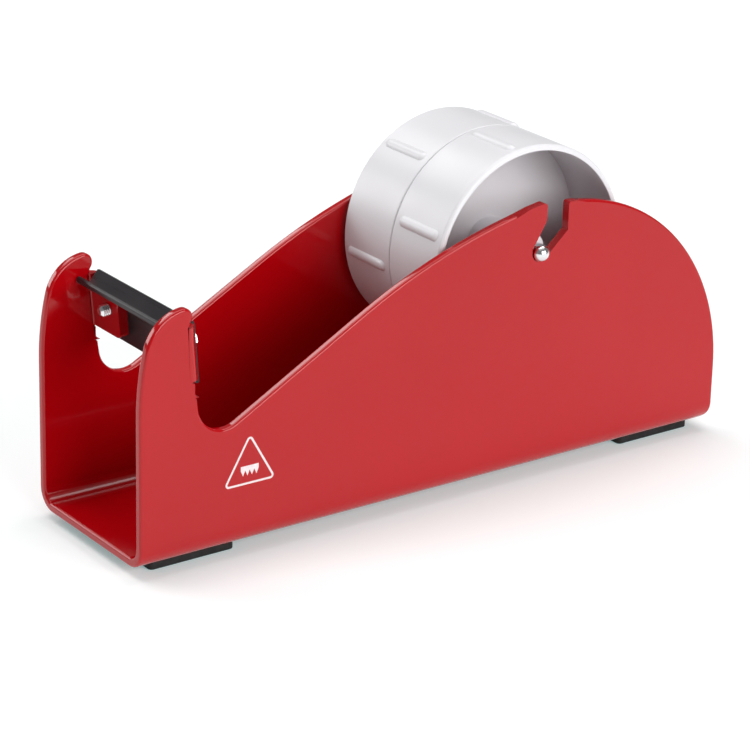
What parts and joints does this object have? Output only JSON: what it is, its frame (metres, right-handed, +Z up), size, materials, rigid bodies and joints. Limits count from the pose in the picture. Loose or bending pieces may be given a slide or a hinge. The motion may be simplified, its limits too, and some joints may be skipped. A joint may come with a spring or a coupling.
{
  "type": "tape dispenser",
  "caption": "Desk tape dispenser: a bent sheet-steel channel with a bolted tear-off blade and a two-part plastic hub hung on a lift-out axle.",
  "frame": {"origin": "on the table under the feet, at the centre of the object's footprint", "axes": "+X along the body from the blade end to the hub end, +Y across the body to its far wall, +Z up"},
  "size_m": [0.224, 0.0658, 0.1111],
  "materials": {
    "red_coat": "glossy red powder coat",
    "black_blade": "satin black",
    "bright_steel": "bright zinc plate",
    "white_plastic": "moulded white, semi-gloss",
    "black_rubber": "matt black"
  },
  "bodies": {
    "stand": {"body": "red_coat", "blade": "black_blade", "blade_bolt_near": "bright_steel", "blade_bolt_far": "bright_steel", "blade_washer_near": "bright_steel", "blade_washer_far": "bright_steel", "foot_front": "black_rubber", "foot_rear": "black_rubber"},
    "axle": {"axle": "bright_steel", "axle_ring_near": "white_plastic", "axle_ring_far": "white_plastic"},
    "hub": {"hub_half_near": "white_plastic", "hub_half_far": "white_plastic"}
  },
  "joints": [
    {"name": "axle_lift", "type": "slide", "parent": "stand", "child": "axle", "axis": [0.4772, 0, 0.8788], "range_m": [0, 0.06]},
    {"name": "hub_spin", "type": "hinge", "parent": "axle", "child": "hub", "pos_m": [0.0348, 0, 0.0738], "axis": [0, 1, 0], "continuous": true}
  ]
}
